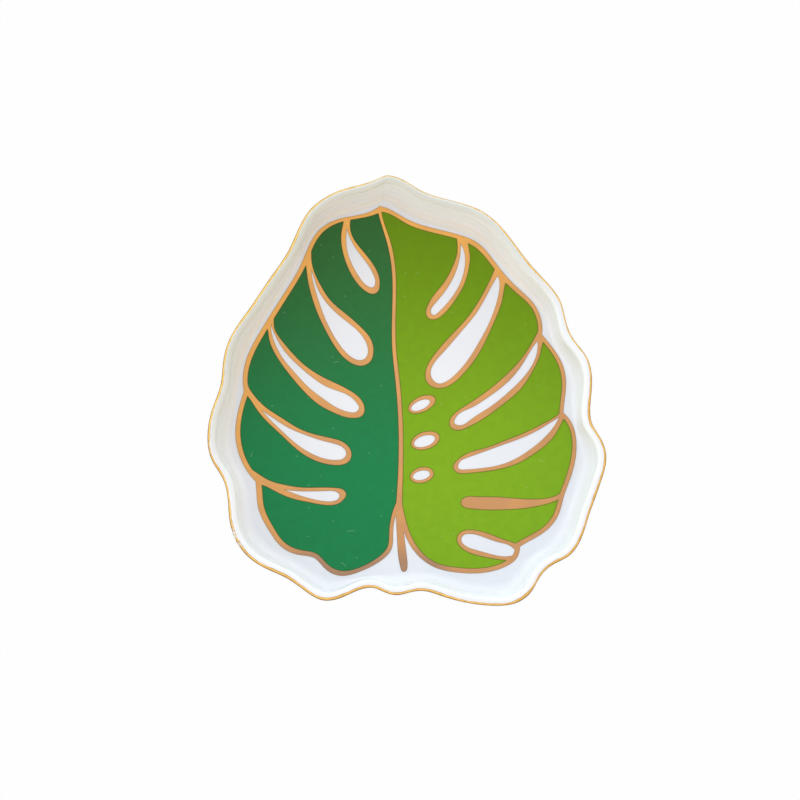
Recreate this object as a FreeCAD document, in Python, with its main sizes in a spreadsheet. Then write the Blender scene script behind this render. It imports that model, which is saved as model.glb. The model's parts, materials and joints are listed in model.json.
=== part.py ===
"""Ring dish: a leaf-shaped porcelain dish with a gilded lip and a split-leaf print fired onto its floor.

+Z is up, +Y points to the tip of the leaf, and the origin lies under the middle of the dish, in the plane
that its foot ring stands on. Lengths are in millimetres.
"""
import FreeCAD
import Part
import math
import os

Vector = FreeCAD.Vector

SIZES = {
    # the dish, over its glaze
    "dish_length": 120.7,
    "dish_width": 111.2,
    "dish_height": 18,
    "wall_run": 6.8,
    "wall_thickness": 2.4,
    "wall_foot_radius": 2.9,
    "base_radius": 2.5,
    "floor_thickness": 3.2,
    "foot_height": 1.8,
    "foot_width": 3,
    "foot_inset": 9,
    # the coats on the dish
    "glaze_thickness": 0.3,
    "gilding_thickness": 0.1,
    "gilding_depth": 0.9,
    # the print on the floor
    "enamel_thickness": 0.15,
    "gold_thickness": 0.25,
    "contour_line": 1.4,
    "side_margin": 0.45,
    "tip_margin": 1.2,
    "stalk_margin": 2,
    # how far a cutting block reaches past what it cuts
    "overrun": 5,
}

# The outlines below are photograph pixels, x to the right and y down, read along each line by eye.

# lip of the dish, clockwise from the tip, each point with its share of the wall's run down to the floor
RIM_PIXELS_AND_RUN_SHARES = (
    (388, 175, 0.85), (400, 178, 0.9), (421, 190, 0.98), (440, 197, 0.97), (466, 204, 0.97),
    (481, 210, 0.91),
    (495, 220, 0.82), (511, 238, 0.75), (530, 263, 0.75), (550, 285, 0.69), (561, 301, 0.6),
    (566, 320, 0.75),
    (573.6, 338.6, 0.7), (586, 355, 0.74), (592, 376, 0.83), (590.4, 404, 0.73), (592, 423, 0.58),
    (601, 438.6, 0.8), (606, 455, 1), (601.4, 478.6, 1), (594.3, 498.6, 1), (588, 516, 1),
    (581.4, 536, 1), (568, 555, 1), (550, 565, 1), (540, 575, 1), (530, 591.4, 1), (516, 601.4, 1),
    (496, 604.3, 1), (470, 602, 1), (440, 594.3, 1), (422, 589.7, 1), (406, 592.4, 1), (397.5, 594, 1),
    (387, 592, 0.9), (373, 586.7, 0.65), (358.6, 589.3, 0.6), (341, 597, 0.85), (324, 599.3, 1),
    (308.6, 592, 1), (288.6, 578, 1), (267, 568, 1), (250, 557, 1), (238.6, 543, 1), (230.7, 520, 1),
    (229, 500, 1), (223.6, 478.6, 1), (213, 461, 1), (208.6, 434, 1), (213, 410, 0.9), (221.4, 385, 0.75),
    (224, 361, 0.75), (230, 340, 0.72), (250, 309, 0.62), (270, 279, 0.58), (288.6, 251, 0.5),
    (298.6, 229, 0.46), (310, 210, 0.55), (323.6, 198.6, 0.72), (340, 190.4, 0.88), (364, 183.6, 0.85),
    (380, 177.6, 0.75),
)

# middle of the gold contour, from the tip of the leaf to the foot of its midrib, one row per lobe edge,
# each point with its share of the contour line's width
LEAF_TIP = (380, 208.8, 1.1)
LEAF_BASE = (399, 503, 1)
CONTOUR_PIXELS_AND_WIDTH_SHARES = {
    "left": (
        (
            LEAF_TIP, (361, 216.3, 0.72), (340, 220.5, 0.72), (321, 231, 0.84), (310.2, 247.4, 0.86),
            (303.4, 264.2, 0.95), (289.6, 289.2, 0.95), (276.6, 309.8, 0.98), (259.2, 338.4, 1),
            (248.4, 361, 1), (244.9, 382, 0.95), (246.2, 393, 1),
        ),
        ((246.2, 393, 1), (240.2, 413, 0.94), (237.8, 434, 1), (245, 463.6, 1), (258.2, 481, 1.1)),
        (
            (258.2, 481, 1.1), (259.4, 492, 1.18), (261.3, 508.6, 1.18), (270.8, 528.8, 1.1),
            (283.5, 545.5, 1.06), (300, 552.9, 1.02), (315.7, 556.4, 0.94), (327, 567.4, 1),
            (340.7, 573.5, 1), (358.6, 570.2, 0.8), (378.6, 559.8, 0.88), (389.2, 548.6, 0.9),
            (391, 531.4, 0.78), (393, 518, 0.8), LEAF_BASE,
        ),
    ),
    "right": (
        (
            LEAF_TIP, (390, 211.8, 0.88), (405.7, 220.8, 0.86), (425.7, 228.4, 0.9), (447, 233.6, 0.9),
            (461.4, 237.6, 0.92), (475.7, 244.2, 1.04), (490, 258.8, 0.98), (503, 275.7, 0.98),
            (518.6, 291.4, 0.94), (533, 305.6, 0.84), (539.9, 322, 0.86), (540, 335, 0.86),
        ),
        (
            (540, 335, 0.86), (550, 347, 0.76), (561.2, 366.2, 0.82), (564.2, 385, 0.82),
            (562.6, 401.4, 0.8), (561.4, 414.3, 0.86),
        ),
        (
            (561.4, 414.3, 0.86), (569.6, 423.4, 0.82), (574.2, 440, 0.8), (573.2, 458.6, 0.9),
            (567.8, 478.6, 0.92), (561.4, 496, 0.94), (555.6, 515, 0.94), (542, 530.8, 0.92),
            (525.7, 540.2, 0.96), (517.5, 545, 0.98),
        ),
        (
            (517.5, 545, 0.98), (516.9, 549.5, 1), (515.5, 554.4, 1.02), (501.4, 565.6, 0.94),
            (478.6, 570.7, 0.96), (455.7, 569.9, 0.98), (434, 564.6, 0.94), (417.2, 551.4, 1),
            (407.4, 534.6, 1.04), (402.6, 518, 0.9), LEAF_BASE,
        ),
    ),
}

# both edges of the midrib, as (y, left x, right x), and the outline of the stalk that carries on from it
MIDRIB_PIXELS = (
    (209, 377, 380.8), (222, 380.4, 383.6), (240, 385.9, 389.7), (265, 391, 394.8), (300, 392.2, 395.8),
    (350, 392, 396), (380, 395, 399.3), (420, 398, 402.4), (460, 398.3, 403), (495, 396.6, 402.1),
)
STALK_PIXELS = (
    (396.6, 495), (396, 521), (396.9, 540), (398.4, 559), (400.2, 567.5), (402.6, 571.8), (405.4, 571.4),
    (407.1, 567.5), (406.9, 559), (404.6, 541), (403.4, 528), (402.1, 495),
)

# each slit: the outside of its gold line, from the contour and round to it again, and then the edge of
# its bare window, from the window's tip and round to it again
SLIT_PIXELS = {
    "left_slit_gold_1": (
        (
            (343.8, 219), (342.6, 224), (341, 232), (340.8, 243), (344.3, 259.3), (351.4, 275.7),
            (360.7, 288),
            (366.8, 292.7), (372.6, 294.5), (377.3, 292.4), (379.4, 286.5), (378.6, 276.8),
            (372.1, 263.6),
            (361.4, 250), (353, 238.6), (349.8, 229), (349.8, 222), (350.6, 217.5),
        ),
        (
            (346.4, 229), (345.8, 236), (346, 246), (349.3, 259.3), (356.4, 273.6), (363, 283),
            (368.8, 287.4),
            (372.6, 287.9), (374.8, 284.5), (373.8, 276.8), (366.4, 263.6), (355.7, 249.3), (349.4, 238),
        ),
    ),
    "left_slit_gold_2": (
        (
            (301.8, 258.5), (304.4, 263.5), (306.8, 277.5), (311.2, 297), (316.9, 313.6), (325, 330.8),
            (335.8, 349.2), (347.5, 361.7), (354, 365.3), (360.5, 366.7), (366, 365.4), (370.6, 361.6),
            (372.9, 355.5), (371.9, 343), (361, 328.2), (346, 315), (329.9, 300.8), (319, 283.8),
            (313, 270.4), (310.8, 258.3), (310.6, 251), (309.6, 246),
        ),
        (
            (310.8, 270.6), (311.6, 277.5), (316.3, 295.8), (323.3, 315.8), (332.5, 335), (344.2, 351.7),
            (355, 360), (361, 360.9), (365.6, 358.4), (367.7, 352.5), (365.8, 343.3), (355.8, 330),
            (340.2, 317.4), (325.8, 303.2), (315.8, 285.6), (312.4, 274.6),
        ),
    ),
    "left_slit_gold_3": (
        (
            (264, 322.5), (266.6, 327.8), (268.6, 339.6), (274, 353.7), (282.6, 367), (293.4, 380.8),
            (305.8, 394.6), (320.7, 407), (335.8, 414.6), (346, 418.2), (354, 418.9), (360, 417.8),
            (363.6, 414.2), (364.2, 408), (361.2, 401), (351, 392.2), (335.3, 384.1), (319.8, 376.5),
            (304.2, 366), (290.2, 352.2), (280, 339.8), (273.8, 328.4), (273.2, 318.5), (271.6, 312.5),
        ),
        (
            (270.8, 325.8), (271.2, 334), (274.6, 344.6), (282.9, 359.8), (295.2, 374.4), (308.3, 388.3),
            (323.5, 400), (338.8, 409.6), (349, 413), (355.5, 412.9), (358.7, 409.2), (356.5, 403.8),
            (345, 394.6), (328.4, 388.5), (311.3, 377.8), (296.6, 365.4), (284.2, 352.2), (275.8, 338.5),
            (272.4, 331),
        ),
    ),
    "left_slit_gold_4": (
        (
            (244.3, 394.5), (248, 398.2), (255, 408.3), (265.8, 421.7), (280, 435), (294.2, 448.3),
            (310, 459.2), (325, 464.6), (336, 466), (344, 465), (349.4, 461.4), (351.4, 455.5),
            (349.6, 449.2),
            (342.6, 442.8), (333.1, 439.5), (316.4, 435.8), (297.9, 429.1), (281.2, 418.8),
            (265.2, 408.2),
            (254.2, 397.1), (249, 389.5), (246, 381),
        ),
        (
            (262, 411.6), (274.2, 420), (290, 429.6), (307.5, 436.7), (325.8, 442.5), (338, 445.8),
            (344.2, 449.8), (346, 454.2), (343.8, 458.8), (337, 460.8), (325.8, 459.8), (310, 453.8),
            (293.3, 442.5), (278.3, 428.8), (267.5, 418.2),
        ),
    ),
    "left_slit_gold_5": (
        (
            (258.8, 485), (262.5, 486), (276.7, 492.9), (291.7, 499.2), (308.3, 502.9), (322, 505.4),
            (332, 505.8), (338.6, 504.2), (343.2, 500.5), (346, 495), (343.9, 491.1), (336, 488.7),
            (320, 488.3), (301.7, 488.3), (285, 485.8), (269.2, 481.3), (260, 476), (249.5, 469),
        ),
        (
            (284.5, 490.4), (293.3, 491.5), (310, 492.1), (328.3, 491.5), (335.4, 492.2), (339.3, 495.6),
            (338.6, 499), (334, 501.6), (324, 501.9), (311.7, 499.6), (296.7, 495.2),
        ),
    ),
    "right_slit_gold_1": (
        (
            (456.2, 235), (457.2, 241), (457.4, 251.2), (452.6, 266.9), (443.2, 283.8), (431.6, 298.5),
            (427, 307.5), (425.8, 313.5), (428.2, 318.4), (433.4, 319.9), (442.6, 315.4), (454.2, 301.7),
            (463.2, 286.9), (468.6, 270.1), (470.1, 256), (468.6, 245.5), (468.4, 239.5),
        ),
        (
            (460.8, 243.8), (464.4, 252), (464.9, 266), (459.5, 284.8), (449.5, 300.6), (438.4, 312.6),
            (433, 315.4), (430.7, 312.4), (433.7, 305.4), (445.3, 291.2), (455.3, 273.3), (460, 256),
        ),
    ),
    "right_slit_gold_2": (
        (
            (496.4, 264.5), (494.3, 270.5), (486.8, 286.9), (477.4, 303.8), (465.3, 320.6),
            (450.5, 336.4),
            (435.8, 353.3), (428.6, 363.8), (425.2, 374), (426.4, 382), (431.6, 387), (439, 388.9),
            (449.5, 385.9), (464.2, 373.3), (477.9, 355.4), (488.4, 335.4), (496.8, 316.4),
            (502.6, 299.6),
            (505.2, 285), (507.4, 278.5),
        ),
        (
            (498, 275.8), (499.8, 283), (499.2, 292.2), (494.7, 309.1), (487.9, 325.9), (478.9, 342.7),
            (466.8, 361.7), (453.7, 376.4), (444.6, 382.8), (438.6, 384.1), (433, 380.6), (430.3, 373.5),
            (432.6, 365.9), (444.2, 351.7), (460, 333.3), (474.2, 316.4), (485.3, 298.5), (493, 284),
        ),
    ),
    "right_slit_gold_3": (
        (
            (540.5, 328), (537.6, 333), (530, 346.8), (518.2, 363), (502, 379.2), (481.8, 395.4),
            (464.6, 406.8),
            (454.2, 414.4), (449.6, 421.2), (450.4, 427.4), (456, 430.6), (467, 428), (485, 418),
            (504, 404),
            (521, 389), (533, 371), (540.5, 354), (542.4, 345), (545, 339),
        ),
        (
            (537.7, 341.3), (537.8, 349), (534, 362), (524, 377), (509, 392), (489, 408), (470, 420.5),
            (459.5, 425.8), (454.4, 423.8), (456, 417.5), (469.4, 409), (488.5, 397.4), (506.7, 383.4),
            (521.7, 365.8),
            (532, 349),
        ),
    ),
    "right_slit_gold_4": (
        (
            (562.3, 410.5), (558.4, 414.6), (543, 424), (525, 433), (505, 441), (485, 448.5),
            (468, 453.6),
            (458, 460), (453, 467.4), (456, 472.4), (464, 473.8), (479, 472.5), (500, 469.2), (519, 463),
            (537, 452), (552, 439), (560.4, 425.5), (565, 416.5),
        ),
        (
            (559.2, 417.3), (553, 428), (541, 441), (524, 454), (504, 464), (482, 468.5), (465, 470),
            (458.2, 468.6), (458.8, 463.4), (466, 458.5), (484, 452), (506, 444), (528, 435.5),
            (548, 424.5),
        ),
    ),
    "right_slit_gold_5": (
        (
            (520, 545.6), (514.6, 543.2), (503.3, 539.6), (486.7, 533.3), (473.3, 530.3), (465, 530.6),
            (459, 533.8), (456.6, 539.6), (459, 545.6), (466, 551.3), (477, 555.4), (490.8, 558.3),
            (503, 560),
            (512, 561.4),
        ),
        (
            (514.7, 550.4), (513, 554.6), (507.5, 556.3), (490.8, 554.2), (474.2, 549.6), (465, 545.8),
            (461, 540), (463, 535.6), (468.6, 534), (480.8, 536.3), (497.5, 542.1), (510, 546),
        ),
    ),
}

# the slit that is filled with gold, from the contour and round to it again
BAR_PIXELS = (
    (564, 489.5), (560.3, 493.2), (552.5, 497.1), (540, 499.2), (520, 499), (495, 497.3), (475, 497),
    (464.8, 497.8), (460.9, 501.4), (462, 506), (470, 508.9), (485, 510), (505, 509.8), (525, 508.4),
    (543, 505), (556.5, 500.4), (561, 497.6),
)

# holes: the outside of each gold ring and then its window, each as a middle, a half length and a half
# width, and last their rise to the right in degrees
HOLE_PIXELS = {
    "hole_ring_gold_1": ((421.7, 404.9), 14.6, 7.6, (420.3, 405.8), 10.2, 4.5, 25),
    "hole_ring_gold_2": ((425.2, 441.2), 14.7, 8.6, (424.3, 441.7), 10.9, 5.5, 18),
    "hole_ring_gold_3": ((421.7, 475.7), 12, 7.7, (421.2, 475.8), 8.7, 4.6, 14),
}

# steps round each arc of the wall's section, and sections along its straight runs
ARC_STEPS = 3
LIP_STEPS = 6
STRAIGHT_SHARES = (0.35, 0.7)


def make_sheet(doc):
    """Put the driving sizes into a spreadsheet of the document, one alias each."""
    sheet = doc.addObject("Spreadsheet::Sheet", "Sizes")
    for row, (alias, value) in enumerate(SIZES.items(), start=1):
        sheet.set(f"A{row}", alias)
        sheet.set(f"B{row}", str(value))
        sheet.setAlias(f"B{row}", alias)
    doc.recompute()
    return sheet


def unit_normal(along):
    """The unit vector to the right of a direction in the plane of the floor."""
    return Vector(along.y, -along.x, 0).normalize()


def curve_through(points):
    """A spline from the first point to the last."""
    curve = Part.BSplineCurve()
    curve.interpolate(Points=points)
    return curve


class DishOutline:
    """The dish in plan: its rim and the edge of its flat floor, and any outline between the two."""

    def __init__(self, sheet):
        self.run = sheet.wall_run
        pixels = [Vector(x, -y, 0) for x, y, share in RIM_PIXELS_AND_RUN_SHARES]
        self.knots = [0.0]
        for here, there in zip(pixels, pixels[1:] + pixels[:1]):
            self.knots.append(self.knots[-1] + here.distanceToPoint(there))
        box = self.closed_edge(pixels).optimalBoundingBox()
        scale_x = sheet.dish_width / box.XLength
        scale_y = sheet.dish_length / box.YLength
        self.rim = [
            Vector((p.x - box.Center.x) * scale_x, (p.y - box.Center.y) * scale_y, 0) for p in pixels
        ]
        self.floor = self.eased_inset()
        self.floor_box = self.closed_edge(self.floor).optimalBoundingBox()
        runs = [r - f for f, r in zip(self.floor, self.rim)]
        self.outward = [Vector(run).normalize() for run in runs]
        self.inside_runs = [run.Length - sheet.wall_thickness for run in runs]

    def closed_edge(self, points):
        """A closed spline whose knots match those of every other outline of the dish."""
        curve = Part.BSplineCurve()
        curve.interpolate(Points=points, PeriodicFlag=True, Parameters=self.knots)
        return curve.toShape()

    def eased_inset(self):
        """The rim moved in by the run of the wall, with its waves eased towards the floor."""
        count = len(self.rim)
        moved = []
        for i, (x, y, share) in enumerate(RIM_PIXELS_AND_RUN_SHARES):
            along = self.rim[(i + 2) % count] - self.rim[i - 2]
            moved.append(self.rim[i] + unit_normal(along) * (self.run * share))
        return [(moved[i - 1] + moved[i] * 2 + moved[(i + 1) % count]) / 4 for i in range(count)]

    def at(self, share, height, further):
        """The outline a share of the way from the floor to the lip's inside, and a distance further."""
        lift = Vector(0, 0, height)
        places = zip(self.floor, self.outward, self.inside_runs)
        return self.closed_edge([f + out * (run * share + further) + lift for f, out, run in places])

    def shrunk(self, inset, height):
        """The floor's outline drawn in evenly towards the middle of the dish, at a height."""
        share_x = 1 - inset / (self.floor_box.XLength / 2)
        share_y = 1 - inset / (self.floor_box.YLength / 2)
        return self.closed_edge([Vector(p.x * share_x, p.y * share_y, height) for p in self.floor])


def wall_section(sheet, depth):
    """The dish's section from its underside to its floor, with its surface a depth inside the glaze's.

    Each point is a vector of (share of the inside's run, height, distance further out). The wall is
    straight between its rounded lip, the radius at its foot inside and the radius at its base outside.
    Where it runs out less far, both radii draw closer to the lip, and it keeps its thickness.
    """
    lip_radius = sheet.wall_thickness / 2
    inside_run = sheet.wall_run - sheet.wall_thickness
    lip = Vector(inside_run + lip_radius, sheet.dish_height - lip_radius, 0)
    foot = Vector(0, sheet.foot_height + sheet.floor_thickness + sheet.wall_foot_radius, 0)
    span = lip - foot
    lean = math.atan2(span.y, span.x) - math.acos((sheet.wall_foot_radius + lip_radius) / span.Length)
    across = Vector(math.cos(lean), math.sin(lean), 0)
    base_height = sheet.foot_height + sheet.base_radius
    reach = across.dot(lip) + lip_radius - sheet.base_radius
    base_share = (reach - across.y * base_height) / across.x / inside_run

    def turned(start, end, steps):
        turns = [start + (end - start) * i / steps for i in range(steps + 1)]
        return [Vector(math.cos(turn), math.sin(turn), 0) for turn in turns]

    def joined(before, after):
        gap = after[0] - before[-1]
        return before + [before[-1] + gap * share for share in STRAIGHT_SHARES] + after

    down = -math.pi / 2
    radius = sheet.base_radius - depth
    outside = [
        Vector(base_share, base_height + u.y * radius, u.x * radius) for u in turned(down, lean, ARC_STEPS)
    ]
    radius = lip_radius - depth
    over = [
        Vector(1, lip.y + u.y * radius, lip_radius + u.x * radius)
        for u in turned(lean, lean + math.pi, LIP_STEPS)
    ]
    radius = sheet.wall_foot_radius
    inside = [
        Vector(u.x * radius / inside_run, foot.y + u.y * (radius + depth), u.x * depth)
        for u in turned(lean, down, ARC_STEPS)
    ]
    return joined(joined(outside, over), inside)


class LeafPrint:
    """Where the print lies on the floor: turns photograph pixels into places on the dish."""

    def __init__(self, sheet, outline):
        halves = CONTOUR_PIXELS_AND_WIDTH_SHARES.values()
        spots = [spot for half in halves for row in half for spot in row]
        self.left = min(x for x, y, share in spots)
        self.top = min(y for x, y, share in spots)
        span_x = max(x for x, y, share in spots) - self.left
        span_y = max(y for x, y, share in spots) - self.top
        line = sheet.contour_line
        floor = outline.floor_box
        self.corner = Vector(
            floor.XMin + sheet.side_margin + line / 2, floor.YMax - sheet.tip_margin - line / 2, 0
        )
        self.scale_x = (floor.XLength - 2 * sheet.side_margin - line) / span_x
        self.scale_y = (floor.YLength - sheet.tip_margin - sheet.stalk_margin - line) / span_y

    def place(self, pixel):
        """The place on the floor of one pixel."""
        x, y = pixel[:2]
        return self.corner + Vector((x - self.left) * self.scale_x, (self.top - y) * self.scale_y, 0)

    def row(self, pixels):
        """The places of a row of pixels."""
        return [self.place(pixel) for pixel in pixels]


def tangents(points):
    """The directions of the spline through a row of points, at each of them."""
    curve = curve_through(points)
    return [curve.tangent(curve.parameter(p))[0] for p in points]


def mitred(before, after, distance):
    """How far a corner moves when the lines that meet in it both move sideways by a distance."""
    first, second = unit_normal(before), unit_normal(after)
    return (first + second) * (distance / (1 + first.dot(second)))


def line_side(rows, distances, lead_in):
    """One edge of a line drawn along rows of points that meet in corners, as a list of splines."""
    directions = [tangents(row) for row in rows]
    edges = []
    for i, (row, away, along) in enumerate(zip(rows, distances, directions)):
        before = directions[i - 1][-1] if i else lead_in
        after = directions[i + 1][0] if i + 1 < len(rows) else along[-1]
        shifts = [mitred(before, along[0], away[0])]
        shifts += [unit_normal(t) * distance for t, distance in zip(along[1:-1], away[1:-1])]
        shifts.append(mitred(along[-1], after, away[-1]))
        edges.append(curve_through([p + shift for p, shift in zip(row, shifts)]).toShape())
    return edges


def face_of(edges):
    """The flat face inside edges that meet end to end, in any order."""
    return Part.Face(Part.Wire(Part.__sortEdges__(edges)))


def edge_ends(edges):
    """The first and the last point of a list of edges that run one way."""
    return edges[0].firstVertex().Point, edges[-1].lastVertex().Point


def contour_face(rows, shares, width, lead_in):
    """The gold line along one half of the leaf's contour, from its middle and its shares of a width."""
    sides = [
        line_side(rows, [[share * half for share in row] for row in shares], lead_in)
        for half in (width / 2, -width / 2)
    ]
    caps = [Part.makeLine(a, b) for a, b in zip(edge_ends(sides[0]), edge_ends(sides[1]))]
    return face_of(sides[0] + sides[1] + caps)


def half_leaf_face(rows, middle):
    """One half of the leaf, out to the middles of its contour and of the midrib."""
    return face_of([curve_through(row).toShape() for row in rows] + [middle.toShape()])


def midrib_face(leaf):
    """The line between the halves, from the tip down to the stalk."""
    left = leaf.row([(x, y) for y, x, right in MIDRIB_PIXELS])
    right = leaf.row([(x, y) for y, left_x, x in MIDRIB_PIXELS])
    sides = [curve_through(left).toShape(), curve_through(right).toShape()]
    return face_of(sides + [Part.makeLine(left[0], right[0]), Part.makeLine(left[-1], right[-1])])


def midrib_middle(leaf):
    """A spline down the middle of the midrib, from the tip of the leaf to its base."""
    spots = [((left + right) / 2, y) for y, left, right in MIDRIB_PIXELS[1:]]
    return curve_through(leaf.row([LEAF_TIP, *spots, LEAF_BASE]))


def open_outline_face(points):
    """A face inside a spline whose ends are joined by a straight line."""
    return face_of([curve_through(points).toShape(), Part.makeLine(points[-1], points[0])])


def window_face(points):
    """The bare window of a slit, with a corner at its tip."""
    return face_of([curve_through(points + points[:1]).toShape()])


class Workshop:
    """The document, its sizes, and the few steps that every piece is made with."""

    def __init__(self):
        self.doc = FreeCAD.newDocument("RingDish")
        self.sheet = make_sheet(self.doc)
        self.outline = DishOutline(self.sheet)
        self.leaf = LeafPrint(self.sheet, self.outline)
        self.parts = []

    def shape(self, name, shape):
        """An object that holds an outline or a face."""
        feature = self.doc.addObject("Part::Feature", name)
        feature.Shape = shape
        return feature

    def extrusion(self, name, base, up, down=None):
        """A face or outline drawn out along Z, by lengths given as sums of the sheet's sizes."""
        feature = self.doc.addObject("Part::Extrusion", name)
        feature.Base = base
        feature.DirMode = "Custom"
        feature.Dir = Vector(0, 0, 1)
        feature.Solid = True
        feature.setExpression("LengthFwd", up)
        if down:
            feature.setExpression("LengthRev", down)
        return feature

    def blade(self, name, base):
        """The same face drawn out past everything that it cuts."""
        return self.extrusion(f"{name}_blade", base, "Sizes.overrun", "Sizes.overrun")

    def fuse(self, name, shapes):
        """Several solids as one."""
        feature = self.doc.addObject("Part::MultiFuse", name)
        feature.Shapes = shapes
        return feature

    def cut(self, name, base, tool):
        """One solid less another."""
        feature = self.doc.addObject("Part::Cut", name)
        feature.Base = base
        feature.Tool = tool
        return feature

    def keep(self, part, on_floor=False):
        """Count an object as a piece of the dish, and set it on the glazed floor if it is printed there."""
        if on_floor:
            part.setExpression("Placement.Base.z", "Sizes.foot_height + Sizes.floor_thickness")
        self.parts.append(part)
        return part


def add_form(shop, name, depth):
    """The dish without its foot, as a solid whose surface lies a depth inside that of the glaze."""
    form = shop.doc.addObject("Part::Loft", name)
    form.Sections = [
        shop.shape(f"{name}_section_{i}", Part.Wire([shop.outline.at(*point)]))
        for i, point in enumerate(wall_section(shop.sheet, depth), start=1)
    ]
    form.Solid = True
    form.Ruled = False
    return form


def add_body(shop):
    """The porcelain: the bare form of the dish on its foot ring."""
    sheet, outline = shop.sheet, shop.outline
    outside = face_of([outline.shrunk(sheet.foot_inset, 0)])
    inside = face_of([outline.shrunk(sheet.foot_inset + sheet.foot_width, 0)])
    block = shop.extrusion(
        "foot_block", shop.shape("foot_outside", outside), "Sizes.foot_height + Sizes.floor_thickness / 2"
    )
    foot = shop.cut("foot_ring", block, shop.blade("foot_inside", shop.shape("foot_inside", inside)))
    bare = add_form(shop, "bare_form", sheet.glaze_thickness)
    shop.keep(shop.fuse("porcelain_body", [bare, foot]))
    return bare, foot


def add_coats(shop, bare, foot):
    """The glaze over the body, broken by the bare foot ring, and the gold line over the glazed lip."""
    sheet = shop.sheet
    glazed = add_form(shop, "glazed_form", 0)
    coat = shop.cut("whole_coat", glazed, bare)
    shop.keep(shop.cut("clear_glaze", coat, foot))

    block = shop.doc.addObject("Part::Box", "gilding_block")
    block.setExpression("Length", "Sizes.dish_width + 2 * Sizes.overrun")
    block.setExpression("Width", "Sizes.dish_length + 2 * Sizes.overrun")
    block.setExpression("Height", "Sizes.gilding_depth + Sizes.overrun")
    block.setExpression("Placement.Base.x", "-Length / 2")
    block.setExpression("Placement.Base.y", "-Width / 2")
    block.setExpression("Placement.Base.z", "Sizes.dish_height - Sizes.gilding_depth")
    lip = shop.doc.addObject("Part::Common", "gilded_lip")
    lip.Base = add_form(shop, "gilded_form", -sheet.gilding_thickness)
    lip.Tool = block
    shop.keep(shop.cut("lip_gilding", lip, glazed))


def add_gold(shop, name, face, blades=()):
    """A gold line from its face, less what it butts against. Returns the blade that cuts round it."""
    base = shop.shape(f"{name}_face", face)
    blade = shop.blade(name, base)
    if not blades:
        shop.keep(shop.extrusion(name, base, "Sizes.gold_thickness"), on_floor=True)
        return blade
    line = shop.extrusion(f"{name}_line", base, "Sizes.gold_thickness")
    tool = shop.fuse(f"{name}_cuts", blades) if len(blades) > 1 else blades[0]
    shop.keep(shop.cut(name, line, tool), on_floor=True)
    return blade


def oval_face(leaf, middle, half_length, half_width, rise):
    """An ellipse on the floor, given in pixels and turned to rise to the right."""
    edge = Part.Ellipse(Vector(0, 0, 0), half_length * leaf.scale_x, half_width * leaf.scale_x).toShape()
    edge.Placement = FreeCAD.Placement(leaf.place(middle), FreeCAD.Rotation(Vector(0, 0, 1), rise))
    return face_of([edge])


def add_hole_ring(shop, name, *sizes):
    """The gold ring round a hole of the leaf. Returns the blade that cuts round it."""
    outside = oval_face(shop.leaf, *sizes[:3], sizes[-1])
    inside = oval_face(shop.leaf, *sizes[3:6], sizes[-1])
    hole = shop.blade(f"{name}_window", shop.shape(f"{name}_window_face", inside))
    return add_gold(shop, name, outside, [hole])


def add_print(shop):
    """The leaf on the floor: gold lines first, then the two greens in the fields between them."""
    sheet, leaf = shop.sheet, shop.leaf
    contours = CONTOUR_PIXELS_AND_WIDTH_SHARES
    rows = {side: [leaf.row(row) for row in half] for side, half in contours.items()}
    other = {"left": "right", "right": "left"}
    stem = [
        add_gold(shop, "midrib_gold", midrib_face(leaf)),
        add_gold(shop, "stalk_gold", open_outline_face(leaf.row(STALK_PIXELS))),
    ]
    blades = {}
    for side in rows:
        lead_in = tangents(rows[other[side]][0])[0] * -1
        shares = [[spot[-1] for spot in row] for row in contours[side]]
        face = contour_face(rows[side], shares, sheet.contour_line, lead_in)
        blades[side] = [add_gold(shop, f"{side}_contour_gold", face, stem)]
    halves = {side: half_leaf_face(rows[side], midrib_middle(leaf)) for side in rows}
    for name, (outside, window) in SLIT_PIXELS.items():
        side = name.split("_")[0]
        hole = window_face(leaf.row(window))
        bare = shop.blade(f"{name}_window", shop.shape(f"{name}_window_face", hole))
        face = open_outline_face(leaf.row(outside)).common(halves[side])
        blades[side].append(add_gold(shop, name, face, [bare, blades[side][0]]))
    blades["right"].append(
        add_gold(shop, "right_bar_gold", open_outline_face(leaf.row(BAR_PIXELS)), blades["right"][:1])
    )
    for name, hole in HOLE_PIXELS.items():
        blades["right"].append(add_hole_ring(shop, name, *hole))
    for side, name in (("left", "dark_green_enamel"), ("right", "light_green_enamel")):
        field = shop.extrusion(
            f"{name}_field", shop.shape(f"{name}_face", halves[side]), "Sizes.enamel_thickness"
        )
        tool = shop.fuse(f"{name}_cuts", blades[side] + blades[other[side]][:1] + stem)
        shop.keep(shop.cut(name, field, tool), on_floor=True)


def check(shop):
    """Stop unless every object was made and every piece is a sound solid."""
    for thing in shop.doc.Objects:
        if {"Invalid", "Error"} & set(thing.State):
            raise RuntimeError(f"{thing.Name} was not made: {thing.State}")
    for part in shop.parts:
        shape = part.Shape
        if shape.isNull() or not shape.isValid() or not shape.Solids:
            raise RuntimeError(f"{part.Label} is not a sound solid")


def main():
    """Build the dish and write one file for each of its pieces."""
    shop = Workshop()
    bare, foot = add_body(shop)
    add_coats(shop, bare, foot)
    add_print(shop)
    shop.doc.recompute()
    check(shop)
    os.makedirs("parts", exist_ok=True)
    for part in shop.parts:
        part.Shape.exportStep(f"parts/{part.Label}.step")
        print(f"{part.Label}: {len(part.Shape.Solids)} solid(s), {part.Shape.Volume:.2f} mm3")


main()
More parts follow.
